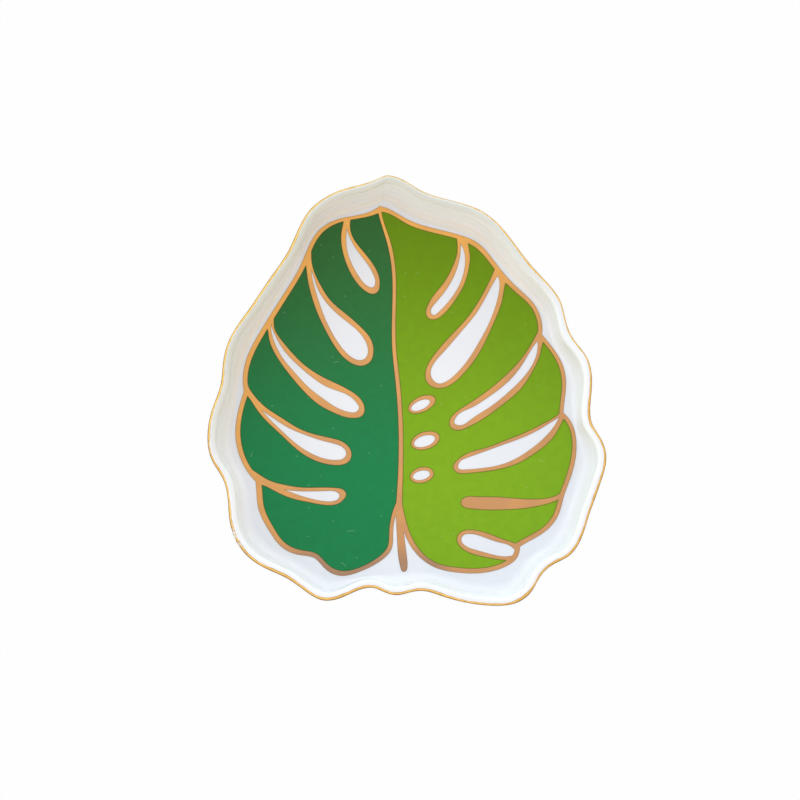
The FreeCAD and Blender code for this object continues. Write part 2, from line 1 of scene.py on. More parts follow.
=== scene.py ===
"""Ring dish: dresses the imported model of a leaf-shaped porcelain dish with a gilded lip.

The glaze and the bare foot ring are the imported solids, each with its own finish. The gold lines, the
two enamels and the gilding are rebuilt as finer meshes where their solids lie: the gold is domed, the
enamel is rounded where it meets the gold, and the gilding is a brushed line of uneven width. Lengths
are in metres.
"""
import json
import logging
import math
from dataclasses import dataclass, field
from enum import Enum

import bmesh
import bpy
import numpy as np
from mathutils import Matrix, Vector
from mathutils.bvhtree import BVHTree
from mathutils.geometry import delaunay_2d_cdt
from mathutils.kdtree import KDTree


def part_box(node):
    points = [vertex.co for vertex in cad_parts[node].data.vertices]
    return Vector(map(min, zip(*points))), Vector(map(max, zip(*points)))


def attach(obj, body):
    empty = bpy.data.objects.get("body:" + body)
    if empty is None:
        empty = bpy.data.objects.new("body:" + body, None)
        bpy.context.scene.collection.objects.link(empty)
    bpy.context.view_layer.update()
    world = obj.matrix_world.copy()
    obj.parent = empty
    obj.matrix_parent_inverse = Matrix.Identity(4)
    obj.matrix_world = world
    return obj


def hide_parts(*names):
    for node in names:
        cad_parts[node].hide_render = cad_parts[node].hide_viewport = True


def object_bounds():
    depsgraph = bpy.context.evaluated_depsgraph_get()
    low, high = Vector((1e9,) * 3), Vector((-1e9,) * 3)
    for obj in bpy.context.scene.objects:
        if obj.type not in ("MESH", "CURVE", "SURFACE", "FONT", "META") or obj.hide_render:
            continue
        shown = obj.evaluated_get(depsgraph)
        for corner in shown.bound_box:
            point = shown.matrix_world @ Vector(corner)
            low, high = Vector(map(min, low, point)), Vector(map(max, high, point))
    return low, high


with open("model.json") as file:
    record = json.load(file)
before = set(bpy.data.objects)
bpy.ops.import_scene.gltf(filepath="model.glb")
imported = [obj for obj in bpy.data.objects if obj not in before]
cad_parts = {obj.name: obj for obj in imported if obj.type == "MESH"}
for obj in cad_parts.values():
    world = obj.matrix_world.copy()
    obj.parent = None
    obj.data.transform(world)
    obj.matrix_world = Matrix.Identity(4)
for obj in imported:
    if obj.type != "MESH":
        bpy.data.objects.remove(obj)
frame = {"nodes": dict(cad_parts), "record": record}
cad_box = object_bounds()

log = logging.getLogger("ring_dish")

Colour = tuple[float, float, float]
Band = tuple[float, float]
WHITE: Colour = (1.0, 1.0, 1.0)
MM = 0.001
WELD = 0.001 * MM
OUTLINE_STEP = 0.1 * MM
FEWEST_POINTS = 8
SHARP_ANGLE = math.radians(50)
LEAF_HALF = 50 * MM
BODY = "root"
EDGE = "edge_mm"
ACROSS = "across"
WEAR = "wear"


class Slot(str, Enum):
    """The record's material slots."""

    PORCELAIN = "porcelain"
    GLAZE = "glaze"
    GILDING = "gilding"
    PRINT_GOLD = "print_gold"
    DARK_GREEN = "dark_green"
    LIGHT_GREEN = "light_green"


class Value:
    """A socket's value in a node tree, on which sums and products add Math nodes."""

    def __init__(self, shader: "Shader", socket: bpy.types.NodeSocket) -> None:
        """Wrap one output socket of a shader's tree."""
        self.shader = shader
        self.socket = socket

    def _math(self, operation: str, *terms: "Value | float", clamp: bool = False) -> "Value":
        """Add one Math node.

        Args:
            operation: The node's operation.
            terms: Its inputs, in order.
            clamp: Whether the result is kept from 0 to 1.

        Returns:
            The node's result.
        """
        settings = {"operation": operation, "use_clamp": clamp}
        return self.shader.node("ShaderNodeMath", settings, dict(enumerate(terms)))

    def __add__(self, other: "Value | float") -> "Value":
        """Sum."""
        return self._math("ADD", self, other)

    def __sub__(self, other: "Value | float") -> "Value":
        """Difference."""
        return self._math("SUBTRACT", self, other)

    def __rsub__(self, other: float) -> "Value":
        """Difference from a number."""
        return self._math("SUBTRACT", other, self)

    def __mul__(self, other: "Value | float") -> "Value":
        """Product."""
        return self._math("MULTIPLY", self, other)

    def __truediv__(self, other: "Value | float") -> "Value":
        """Quotient."""
        return self._math("DIVIDE", self, other)

    def most(self, other: "Value | float") -> "Value":
        """The larger of two values."""
        return self._math("MAXIMUM", self, other)

    def clamped(self) -> "Value":
        """The value kept from 0 to 1."""
        return self._math("ADD", self, 0.0, clamp=True)

    def rising(self, low: float, high: float) -> "Value":
        """0 below one number and 1 above another, smooth between them.

        It falls if the first number is the larger.

        Args:
            low: Where it is 0.
            high: Where it is 1.

        Returns:
            The smooth step.
        """
        if low > high:
            return 1.0 - self.rising(high, low)
        settings = {"interpolation_type": "SMOOTHSTEP", "clamp": True}
        inputs = {"Value": self, "From Min": low, "From Max": high}
        return self.shader.node("ShaderNodeMapRange", settings, inputs)


class Shader:
    """The node tree of one finish."""

    def __init__(self, tree: bpy.types.NodeTree) -> None:
        """Start an empty tree."""
        self.tree = tree
        tree.nodes.clear()

    def node(
        self, kind: str, settings: dict | None = None, inputs: dict | None = None, output: int | str = 0
    ) -> Value:
        """Add any node.

        Args:
            kind: The node's type.
            settings: Its own properties, set first.
            inputs: Values or links of its sockets, by name or number.
            output: The socket that is returned.

        Returns:
            That output.
        """
        node = self.tree.nodes.new(kind)
        for name, setting in (settings or {}).items():
            setattr(node, name, setting)
        for name, value in (inputs or {}).items():
            if isinstance(value, Value):
                self.tree.links.new(value.socket, node.inputs[name])
            elif isinstance(value, tuple) and node.inputs[name].type == "RGBA":
                node.inputs[name].default_value = (*value, 1.0)
            else:
                node.inputs[name].default_value = value
        return Value(self, node.outputs[output] if node.outputs else None)

    def place(self) -> Value:
        """The place on the dish, in metres."""
        return self.node("ShaderNodeTexCoord", output="Object")

    def parts(self, vector: Value) -> list[Value]:
        """The three components of a vector."""
        split = self.node("ShaderNodeSeparateXYZ", inputs={"Vector": vector})
        return [Value(self, socket) for socket in split.socket.node.outputs]

    def noise(self, grain: float, detail: float = 2.0, roughness: float = 0.5) -> Value:
        """Soft noise.

        Args:
            grain: The size of its grain, in metres.
            detail: Its octaves.
            roughness: How much the finer octaves count.

        Returns:
            A value about 0.5.
        """
        inputs = {"Vector": self.place(), "Scale": 1 / grain, "Detail": detail, "Roughness": roughness}
        return self.node("ShaderNodeTexNoise", {"noise_dimensions": "3D"}, inputs, "Fac")

    def specks(self, grain: float, radius: float, rarity: float, flat: bool = False) -> Value:
        """Small round specks, one in some of the cells of a grid.

        Args:
            grain: The size of a cell.
            radius: The radius of a speck, as a share of its cell.
            rarity: The share of cells that hold none.
            flat: Whether the grid is one in plan, for a level surface.

        Returns:
            1 in a speck and 0 elsewhere.
        """
        settings = {"feature": "F1", "voronoi_dimensions": "2D" if flat else "3D"}
        inputs = {"Vector": self.place(), "Scale": 1 / grain}
        outputs = self.node("ShaderNodeTexVoronoi", settings, inputs).socket.node.outputs
        chance = self.parts(Value(self, outputs["Color"]))[0]
        near = Value(self, outputs["Distance"]).rising(radius, radius * 0.5)
        soft = 0.01
        return near * chance.rising(rarity - soft, rarity + soft)

    def attribute(self, name: str) -> Value:
        """A number stored at the points of a mesh."""
        return self.node("ShaderNodeAttribute", {"attribute_name": name}, output="Fac")

    def mix(self, first: Value | Colour, second: Value | Colour, factor: Value | float) -> Value:
        """Mix two colours.

        Args:
            first: The colour at factor 0.
            second: The colour at factor 1.
            factor: How much of the second there is.

        Returns:
            The mixed colour.
        """
        settings = {"data_type": "RGBA", "blend_type": "MIX"}
        return self.node("ShaderNodeMix", settings, {0: factor, 6: first, 7: second}, 2)

    def bump(self, height: Value, depth: float) -> Value:
        """A bump.

        Args:
            height: Its height, from 0 to 1.
            depth: The depth of the whole range, in metres.

        Returns:
            The bumped normal.
        """
        inputs = {"Strength": 1.0, "Distance": depth, "Height": height}
        return self.node("ShaderNodeBump", inputs=inputs)


def new_material(name: str) -> tuple[bpy.types.Material, Shader]:
    """A material with an empty node tree, and the shader that fills it.

    Args:
        name: The material's name.

    Returns:
        Both.
    """
    material = bpy.data.materials.new(name)
    material.use_nodes = True
    return material, Shader(material.node_tree)


def principled(shader: Shader, inputs: dict) -> None:
    """Add the surface shader, with values or links of its sockets, and link it to the output."""
    surface = shader.node("ShaderNodeBsdfPrincipled", inputs=inputs)
    shader.node("ShaderNodeOutputMaterial", inputs={"Surface": surface})


@dataclass(frozen=True)
class GlazeFinish:
    """Clear glaze over white porcelain: glossy and faintly uneven, with rare specks.

    Near the tip and on the left, the inside of the wall has painted shade along its crest; near the tip it
    has a painted warm reflection at its foot.
    """

    white: Colour = (0.83, 0.84, 0.865)
    pooled: Colour = (0.81, 0.825, 0.855)
    pool_grain: float = 18 * MM
    pool_band: Band = (0.35, 0.7)
    speck: Colour = (0.45, 0.42, 0.38)
    speck_cell: float = 7 * MM
    speck_radius: float = 0.018
    speck_rarity: float = 0.9
    speck_strength: float = 0.6
    # Painted shade for the lip's crest, and a painted warm reflection for the wall's foot.
    painted_lip_shade: Colour = (0.62, 0.615, 0.55)
    painted_lip_shade_height: Band = (16.6 * MM, 17.6 * MM)
    painted_foot_reflection: Colour = (0.785, 0.755, 0.69)
    foot_low: Band = (5.005 * MM, 5.06 * MM)
    foot_high: Band = (7.5 * MM, 5.8 * MM)
    facing_up: Band = (0.02, 0.15)
    tip_lean: float = 0.35
    tip_band: Band = (-0.2, 0.6)
    left_lean: float = 0.8
    left_band: Band = (-0.3, 1.2)
    gloss_grain: float = 9 * MM
    gloss_band: Band = (0.3, 0.7)
    roughness: float = 0.19
    roughness_span: float = 0.06
    specular: float = 0.35
    ripple: float = 0.015 * MM
    ripple_grain: float = 5 * MM

    def material(self) -> bpy.types.Material:
        """Build the material.

        Returns:
            The new material.
        """
        material, shader = new_material("porcelain_glaze")
        pooling = shader.noise(self.pool_grain, detail=3.0).rising(*self.pool_band)
        specks = shader.specks(self.speck_cell, self.speck_radius, self.speck_rarity)
        colour = shader.mix(self.white, self.pooled, pooling)
        colour = shader.mix(colour, self.speck, specks * self.speck_strength)
        x, y, z = shader.parts(shader.place())
        facing = shader.node("ShaderNodeTexCoord", output="Normal")
        within = shader.parts(facing)[2].rising(*self.facing_up)
        along, across = y / LEAF_HALF, x / LEAF_HALF
        round_tip = (along - across * self.tip_lean).rising(*self.tip_band)
        to_left = (along - across * self.left_lean).rising(*self.left_band)
        # Painted shade: the crest of the lip is dulled near the tip and on the left, where less light
        # falls.
        crest = z.rising(*self.painted_lip_shade_height) * (round_tip + to_left) * 0.5
        colour = shader.mix(colour, self.painted_lip_shade, crest * within)
        # Painted reflection: the foot of the wall near the tip takes a warm cast, as if it reflected the
        # gold and the greens.
        foot = z.rising(*self.foot_low) * z.rising(*self.foot_high) * round_tip
        colour = shader.mix(colour, self.painted_foot_reflection, foot * within)
        gloss = shader.noise(self.gloss_grain).rising(*self.gloss_band)
        principled(shader, {
            "Base Color": colour,
            "Roughness": gloss * self.roughness_span + self.roughness,
            "Normal": shader.bump(shader.noise(self.ripple_grain), self.ripple),
            "Specular IOR Level": self.specular,
        })
        return material


@dataclass(frozen=True)
class BiscuitFinish:
    """Bare porcelain where the foot ring stood on the kiln shelf: matt, fine grained, a little soiled."""

    clay: Colour = (0.74, 0.72, 0.67)
    soiled: Colour = (0.5, 0.46, 0.4)
    rubbed_grain: float = 6 * MM
    rubbed_band: Band = (0.5, 0.75)
    rubbed_dirt: float = 0.35
    grain_band: Band = (0.6, 0.8)
    grain_dirt: float = 0.15
    roughness: float = 0.65
    grain_roughness: float = 0.2
    grain_size: float = 0.35 * MM
    grain_depth: float = 0.04 * MM

    def material(self) -> bpy.types.Material:
        """Build the material.

        Returns:
            The new material.
        """
        material, shader = new_material("bare_porcelain")
        grain = shader.noise(self.grain_size, detail=3.0, roughness=0.7)
        rubbed = shader.noise(self.rubbed_grain, detail=4.0).rising(*self.rubbed_band)
        dirt = rubbed * self.rubbed_dirt + grain.rising(*self.grain_band) * self.grain_dirt
        principled(shader, {
            "Base Color": shader.mix(self.clay, self.soiled, dirt),
            "Roughness": grain * self.grain_roughness + self.roughness,
            "Normal": shader.bump(grain, self.grain_depth),
        })
        return material


@dataclass(frozen=True)
class PrintGoldFinish:
    """Gold print: satin, with painted reflection that brightens it round the leaf and towards the tip,
    painted shade that leaves it copper-toned within, and a dark line at its edges.
    """

    # Painted reflection and shade: the first colour is gold lit by the walls' reflection, the second is the
    # shaded gold within the leaf.
    bright: Colour = (1.0, 0.51, 0.115)
    coppery_shaded_gold: Colour = (0.67, 0.328, 0.13)
    dull: Colour = (0.4, 0.23, 0.14)
    edge: Colour = (0.2, 0.09, 0.025)
    leaf_half: tuple[float, float] = (48 * MM, 50 * MM)
    tip_lean: float = 0.6
    tip_band: Band = (-1.0, 1.0)
    outer_band: Band = (0.45, 0.95)
    painted_rim_reflection: float = 0.5
    painted_inner_reflection: float = 0.4
    patch_grain: float = 7 * MM
    patch_band: Band = (0.35, 0.65)
    patch_shine: float = 0.2
    shine_loss: float = 0.08
    dull_along: Band = (-41 * MM, -48 * MM)
    dull_across: Band = (0.3, 0.15)
    dull_strength: float = 0.8
    edge_mm: float = 0.2
    edge_strength: float = 0.7
    metallic: float = 0.45
    roughness: float = 0.36
    patch_roughness: float = 0.1
    grain_roughness: float = 0.12
    grain_size: float = 0.25 * MM
    grain_depth: float = 0.012 * MM

    def material(self) -> bpy.types.Material:
        """Build the material.

        Returns:
            The new material.
        """
        material, shader = new_material("print_gold")
        x, y = shader.parts(shader.place())[:2]
        across, along = x / self.leaf_half[0], y / self.leaf_half[1]
        towards_tip = (along - across * self.tip_lean).rising(*self.tip_band)
        outer = (across * across + along * along).rising(*self.outer_band)
        patches = shader.noise(self.patch_grain, detail=3.0).rising(*self.patch_band)
        # Painted reflection: the gold is brighter towards the tip and round the leaf, near the walls; the
        # patches add random tone.
        lit = towards_tip * (outer * self.painted_rim_reflection + self.painted_inner_reflection)
        painted_reflection_and_tone = lit + patches * self.patch_shine - self.shine_loss
        colour = shader.mix(self.coppery_shaded_gold, self.bright, painted_reflection_and_tone.clamped())
        lowest = y.rising(*self.dull_along) * across.rising(*self.dull_across)
        colour = shader.mix(colour, self.dull, lowest * self.dull_strength)
        near_edge = shader.attribute(EDGE).rising(self.edge_mm, 0.0)
        grain = shader.noise(self.grain_size)
        principled(shader, {
            "Base Color": shader.mix(colour, self.edge, near_edge * self.edge_strength),
            "Metallic": self.metallic,
            "Roughness": patches * self.patch_roughness + grain * self.grain_roughness + self.roughness,
            "Normal": shader.bump(grain, self.grain_depth),
        })
        return material


@dataclass(frozen=True)
class Scratch:
    """A fine scratch: its middle, its length and its direction in plan."""

    x: float
    y: float
    length: float
    angle: float


@dataclass(frozen=True)
class EnamelFinish:
    """Fired enamel under gloss, with painted shade that darkens it towards the tip, darker at its edges,
    with dust specks and fine scratches.
    """

    name: str
    # These two colours hold painted shade: the enamel is darker towards the tip, where the wall shades the
    # floor.
    towards_stalk: Colour
    towards_tip: Colour
    edge: Colour
    fleck: Colour
    scratches: tuple[Scratch, ...]
    scratch_width: float = 0.16 * MM
    scratch_bend: float = 0.3
    scratch_taper: Band = (0.25, 0.1)
    tip_band: Band = (-0.6, 1.05)
    edge_mm: float = 0.3
    edge_strength: float = 0.85
    mottle_grain: float = 2.5 * MM
    mottle_band: Band = (0.3, 0.7)
    mottle_strength: float = 0.1
    mottle_roughness: float = 0.08
    dust_cell: float = 3.4 * MM
    dust_radius: float = 0.055
    dust_rarity: float = 0.92
    fleck_strength: float = 0.6
    roughness: float = 0.18
    specular: float = 0.12
    ripple: float = 0.01 * MM
    ripple_grain: float = 1.8 * MM

    def material(self) -> bpy.types.Material:
        """Build the material.

        Returns:
            The new material.
        """
        material, shader = new_material(self.name)
        x, y = shader.parts(shader.place())[:2]
        # Painted shade: the colour darkens from the stalk towards the tip.
        upper = (y / LEAF_HALF).rising(*self.tip_band)
        mottle = shader.noise(self.mottle_grain, detail=4.0).rising(*self.mottle_band)
        colour = shader.mix(self.towards_stalk, self.towards_tip, upper)
        colour = shader.mix(colour, self.edge, mottle * self.mottle_strength)
        near_edge = shader.attribute(EDGE).rising(self.edge_mm, 0.0)
        colour = shader.mix(colour, self.edge, near_edge * self.edge_strength)
        dust = shader.specks(self.dust_cell, self.dust_radius, self.dust_rarity, flat=True)
        flecks = dust.most(self.scratched(x, y)) * self.fleck_strength
        colour = shader.mix(colour, self.fleck, flecks)
        principled(shader, {
            "Base Color": colour,
            "Roughness": mottle * self.mottle_roughness + self.roughness,
            "Normal": shader.bump(shader.noise(self.ripple_grain), self.ripple),
            "Specular IOR Level": self.specular,
        })
        return material

    def scratched(self, x: Value, y: Value) -> Value:
        """Where the scratches are.

        Args:
            x: The place on the dish.
            y: The place on the dish.

        Returns:
            1 in a scratch and 0 elsewhere.
        """
        marks = x * 0.0
        for scratch in self.scratches:
            right, up = (x - scratch.x) / scratch.length, (y - scratch.y) / scratch.length
            cosine, sine = math.cos(scratch.angle), math.sin(scratch.angle)
            along = right * cosine + up * sine
            across = up * cosine - right * sine + along * along * self.scratch_bend
            half = self.scratch_width / scratch.length / 2
            thin = (across * across).rising(half * half, 0.0)
            marks = marks.most(thin * (along * along).rising(*self.scratch_taper))
        return marks


@dataclass(frozen=True)
class GildingFinish:
    """Burnished gold brushed over the lip: painted shade makes it brown outside and a painted highlight
    makes it bright above; thin within, worn in places.
    """

    bright: Colour = (0.92, 0.57, 0.16)
    outer: Colour = (0.2, 0.105, 0.025)
    grazing: Colour = (0.6, 0.42, 0.2)
    upper_band: Band = (0.42, 0.78)
    streak_grain: float = 1.2 * MM
    streak_band: Band = (0.35, 0.65)
    streak_share: float = 0.2
    even_share: float = 0.7
    thin_band: Band = (1.0, 0.82)
    thinnest: float = 0.4
    hole_grain: float = 0.9 * MM
    hole_band: Band = (0.44, 0.54)
    metallic: float = 0.65
    roughness: float = 0.24
    streak_roughness: float = 0.1

    def material(self) -> bpy.types.Material:
        """Build the material.

        Returns:
            The new material.
        """
        material, shader = new_material("burnished_gold")
        streaks = shader.noise(self.streak_grain, detail=4.0, roughness=0.65)
        across = shader.attribute(ACROSS)
        brushed = streaks.rising(*self.streak_band) * self.streak_share + self.even_share
        # Painted shade and highlight: brown on the outer curve of the lip, bright on its top.
        upper = across.rising(*self.upper_band)
        body = across.rising(*self.thin_band) * (1 - self.thinnest) + self.thinnest
        holes = shader.noise(self.hole_grain, detail=3.0, roughness=0.6).rising(*self.hole_band)
        principled(shader, {
            "Base Color": shader.mix(self.outer, self.bright, upper * brushed),
            "Metallic": self.metallic,
            "Roughness": streaks * self.streak_roughness + self.roughness,
            "Alpha": body * (1.0 - shader.attribute(WEAR) * holes),
            "Specular Tint": self.grazing,
        })
        return material


def mesh_arrays(mesh: bpy.types.Mesh) -> tuple[np.ndarray, np.ndarray]:
    """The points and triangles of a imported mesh, with points at one place joined.

    Args:
        mesh: A mesh of triangles.

    Returns:
        Points as rows of x, y, z, and triangles as rows of their numbers.
    """
    joined = bmesh.new()
    joined.from_mesh(mesh)
    bmesh.ops.remove_doubles(joined, verts=joined.verts, dist=WELD)
    joined.verts.index_update()
    points = np.array([vertex.co for vertex in joined.verts])
    triangles = np.array([[vertex.index for vertex in face.verts] for face in joined.faces])
    joined.free()
    return points, triangles


def border(triangles: np.ndarray) -> list[tuple[int, int]]:
    """The edges that only one triangle has, with that triangle on their left."""
    edges = {(int(a), int(b)) for t in triangles for a, b in ((t[0], t[1]), (t[1], t[2]), (t[2], t[0]))}
    return [(a, b) for a, b in edges if (b, a) not in edges]


def chained(edges: list[tuple[int, int]]) -> list[list[int]]:
    """Edges joined end to end into closed rows.

    Args:
        edges: Pairs of point numbers.

    Returns:
        One list of point numbers for each closed row.
    """
    after: dict[int, list[int]] = {}
    for a, b in sorted(edges):
        after.setdefault(a, []).append(b)
    rows = []
    while after:
        start = here = next(iter(after))
        row = []
        while here in after:
            row.append(here)
            ways = after[here]
            there = ways.pop()
            if not ways:
                del after[here]
            here = there
            if here == start:
                break
        rows.append(row)
    return rows


def flat_loops(node: str, top: bool) -> list[np.ndarray]:
    """The closed outlines, in plan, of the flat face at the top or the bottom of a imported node.

    Args:
        node: The node's name.
        top: Whether it is the top face.

    Returns:
        Rows of x, y, with the face on their left.
    """
    points, triangles = mesh_arrays(frame["nodes"][node].data)
    heights = points[triangles][:, :, 2]
    level = points[:, 2].max() if top else points[:, 2].min()
    face = triangles[(np.abs(heights - level) < WELD).all(axis=1)]
    rows = chained(border(face))
    return [points[row if top else row[::-1], :2] for row in rows]


def evenly_spaced(loop: np.ndarray, step: float) -> np.ndarray:
    """A closed row of points at even distances along another.

    Args:
        loop: Rows of x, y.
        step: About how far apart the new points are.

    Returns:
        The new rows.
    """
    closed = np.vstack([loop, loop[:1]])
    along = np.concatenate([[0.0], np.cumsum(np.linalg.norm(np.diff(closed, axis=0), axis=1))])
    count = max(FEWEST_POINTS, int(round(along[-1] / step)))
    places = np.arange(count) * along[-1] / count
    return np.column_stack([np.interp(places, along, closed[:, axis]) for axis in (0, 1)])


def subdivided(loop: np.ndarray, step: float) -> np.ndarray:
    """A closed row of points with its long edges divided.

    Args:
        loop: Rows of x, y.
        step: The longest edge that is left.

    Returns:
        The new rows, the old ones among them.
    """
    rows = []
    for here, there in zip(loop, np.roll(loop, -1, axis=0)):
        pieces = max(1, math.ceil(np.linalg.norm(there - here) / step))
        rows.extend(here + (there - here) * i / pieces for i in range(pieces))
    return np.array(rows)


def left_normals(loop: np.ndarray) -> np.ndarray:
    """Unit vectors to the left of a closed row of points.

    Args:
        loop: Rows of x, y.

    Returns:
        One vector for each point.
    """
    along = np.roll(loop, -1, axis=0) - np.roll(loop, 1, axis=0)
    along /= np.maximum(np.linalg.norm(along, axis=1, keepdims=True), WELD)
    return np.column_stack([-along[:, 1], along[:, 0]])


def tree_of(points: np.ndarray) -> KDTree:
    """A search tree over places in plan.

    Args:
        points: Rows of x, y.

    Returns:
        The tree.
    """
    tree = KDTree(len(points))
    for i, (x, y) in enumerate(points):
        tree.insert((x, y, 0.0), i)
    tree.balance()
    return tree


def distances(points: np.ndarray, tree: KDTree) -> np.ndarray:
    """How far each place in plan is from the nearest one of a tree."""
    return np.array([tree.find((x, y, 0.0))[2] for x, y in points])


def inside(points: np.ndarray, loops: list[np.ndarray]) -> np.ndarray:
    """Whether places in plan lie inside closed rows of points, holes left out.

    Args:
        points: Rows of x, y.
        loops: The closed rows.

    Returns:
        One truth value for each place.
    """
    starts = np.vstack(loops)
    ends = np.vstack([np.roll(loop, -1, axis=0) for loop in loops])
    run, rise = (ends - starts).T
    slope = run / np.where(rise == 0, 1.0, rise)
    found = []
    at_once = 2000
    for chunk in np.array_split(points, max(1, len(points) // at_once)):
        x, y = chunk[:, :1], chunk[:, 1:]
        spans = (starts[:, 1] > y) != (ends[:, 1] > y)
        crossed = spans & (x < starts[:, 0] + (y - starts[:, 1]) * slope)
        found.append(crossed.sum(axis=1) % 2 == 1)
    return np.concatenate(found)


def triangulated(
    points: np.ndarray, edges: list[tuple[int, int]], loops: list[np.ndarray]
) -> tuple[np.ndarray, np.ndarray, list[list[int]]]:
    """Fill closed rows of points with triangles.

    Args:
        points: Rows of x, y: those on the rows first, and then those inside.
        edges: The edges of the rows, as pairs of numbers.
        loops: The rows, to tell inside from outside.

    Returns:
        The points, the triangles that lie inside, and for each point the numbers of the old ones there.
    """
    flat = [Vector(p) for p in points]
    result = delaunay_2d_cdt(flat, edges, [], 0, WELD * 0.1)
    corners = np.array([list(v) for v in result[0]])
    triangles = np.array(result[2], dtype=int)
    middles = corners[triangles].mean(axis=1)
    return corners, triangles[inside(middles, loops)], result[3]


@dataclass
class PrintedField:
    """One piece of the print, rebuilt as a closed mesh with a rounded top where its solid lies."""

    node: str
    slot: Slot
    rounding: float
    edge_share: float
    height_share: float
    boundary_step: float = 0.25 * MM
    grid_step: float = 0.7 * MM
    ring_shares: tuple[float, ...] = (0.12, 0.32, 0.6, 1.0)
    ring_clearance: float = 0.9
    grid_clearance: float = 0.4
    loops: list[np.ndarray] = field(init=False)
    base: float = field(init=False)
    thickness: float = field(init=False)

    def __post_init__(self) -> None:
        """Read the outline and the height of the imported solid."""
        self.loops = [subdivided(loop, self.boundary_step) for loop in flat_loops(self.node, top=True)]
        low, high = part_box(self.node)
        self.base = low.z
        self.thickness = (high.z - low.z) * self.height_share

    def samples(self, step: float) -> np.ndarray:
        """Places along the outline at even distances."""
        return np.vstack([evenly_spaced(loop, step) for loop in self.loops])

    def inner_points(self, tree: KDTree) -> np.ndarray:
        """Points inside the outline: rings close to it, and a wider grid further in.

        Args:
            tree: The places along the outline.

        Returns:
            Rows of x, y.
        """
        rows = []
        for share in self.ring_shares:
            offset = share * self.rounding
            for loop in self.loops:
                even = evenly_spaced(loop, self.boundary_step)
                ring = even + left_normals(even) * offset
                rows.append(ring[distances(ring, tree) > offset * self.ring_clearance])
        low = np.vstack(self.loops).min(axis=0)
        high = np.vstack(self.loops).max(axis=0)
        height = self.grid_step * math.sqrt(3) / 2
        far_enough = self.rounding + self.grid_step * self.grid_clearance
        for i, y in enumerate(np.arange(low[1], high[1], height)):
            xs = np.arange(low[0] + (i % 2) * self.grid_step / 2, high[0], self.grid_step)
            row = np.column_stack([xs, np.full_like(xs, y)])
            rows.append(row[distances(row, tree) > far_enough])
        points = np.vstack(rows)
        return points[inside(points, self.loops)]

    def rim_edges(self) -> list[tuple[int, int]]:
        """The edges of the outline.

        Returns:
            Pairs of point numbers, counted on from loop to loop.
        """
        edges = []
        start = 0
        for loop in self.loops:
            count = len(loop)
            edges += [(start + i, start + (i + 1) % count) for i in range(count)]
            start += count
        return edges

    def build(self, edge_tree: KDTree) -> bpy.types.Object:
        """Make the piece and put it in the place of its solid.

        Args:
            edge_tree: Places along the edges that the top is rounded towards.

        Returns:
            The new object.
        """
        own = tree_of(self.samples(OUTLINE_STEP))
        points = np.vstack([*self.loops, self.inner_points(own)])
        plan, triangles, _ = triangulated(points, self.rim_edges(), self.loops)
        used, triangles = np.unique(triangles, return_inverse=True)
        plan, triangles = plan[used], triangles.reshape(-1, 3)
        distance = distances(plan, edge_tree)
        crown = np.sqrt(1 - (1 - np.minimum(distance / self.rounding, 1.0)) ** 2)
        height = self.base + self.thickness * (self.edge_share + (1 - self.edge_share) * crown)
        return self.closed(np.column_stack([plan, height]), triangles, distance)

    def closed(self, top: np.ndarray, triangles: np.ndarray, distance: np.ndarray) -> bpy.types.Object:
        """Close the rounded top with a wall and a flat underside.

        Args:
            top: The top's points, as rows of x, y, z.
            triangles: The top's triangles.
            distance: How far each of its points is from the edges.

        Returns:
            The new object.
        """
        outline = border(triangles)
        rim = sorted({point for edge in outline for point in edge})
        under = top[rim]
        under[:, 2] = self.base
        under_of = {point: i for i, point in enumerate(rim)}
        low_edges = [(under_of[a], under_of[b]) for a, b in outline]
        _, low_triangles, origin = triangulated(under[:, :2], low_edges, self.loops)
        number = {i: olds[0] for i, olds in enumerate(origin) if olds}
        count = len(top)
        points = np.vstack([top, under])
        faces = [tuple(int(p) for p in t) for t in triangles]
        faces += [tuple(count + number[int(p)] for p in reversed(t)) for t in low_triangles]
        faces += [(b, a, count + under_of[a], count + under_of[b]) for a, b in outline]
        edge_mm = np.concatenate([distance, np.zeros(len(under))]) / MM
        return place_piece(f"{self.node}_print", points, faces, {EDGE: edge_mm}, self.node)


def place_piece(
    name: str, points: np.ndarray, faces: list, numbers: dict[str, np.ndarray], node: str
) -> bpy.types.Object:
    """Make a mesh object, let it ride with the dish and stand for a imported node.

    Args:
        name: The piece's name.
        points: Rows of x, y, z.
        faces: Tuples of point numbers.
        numbers: Values stored at the points, by attribute name.
        node: The node that it replaces.

    Returns:
        The new object.
    """
    mesh = bpy.data.meshes.new(name)
    mesh.from_pydata(points.tolist(), [], faces)
    mesh.validate()
    for key, values in numbers.items():
        attribute = mesh.attributes.new(key, "FLOAT", "POINT")
        attribute.data.foreach_set("value", values.astype(np.float32))
    mesh.polygons.foreach_set("use_smooth", [True] * len(mesh.polygons))
    mesh.set_sharp_from_angle(angle=SHARP_ANGLE)
    piece = bpy.data.objects.new(name, mesh)
    bpy.context.scene.collection.objects.link(piece)
    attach(piece, BODY)
    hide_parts(node)
    return piece


def dressed(piece: bpy.types.Object, material: bpy.types.Material) -> bpy.types.Object:
    """Give a piece its material, and log it.

    Args:
        piece: The piece.
        material: Its material.

    Returns:
        The piece.
    """
    piece.data.materials.append(material)
    log.info("%s: %d faces", piece.name, len(piece.data.polygons))
    return piece


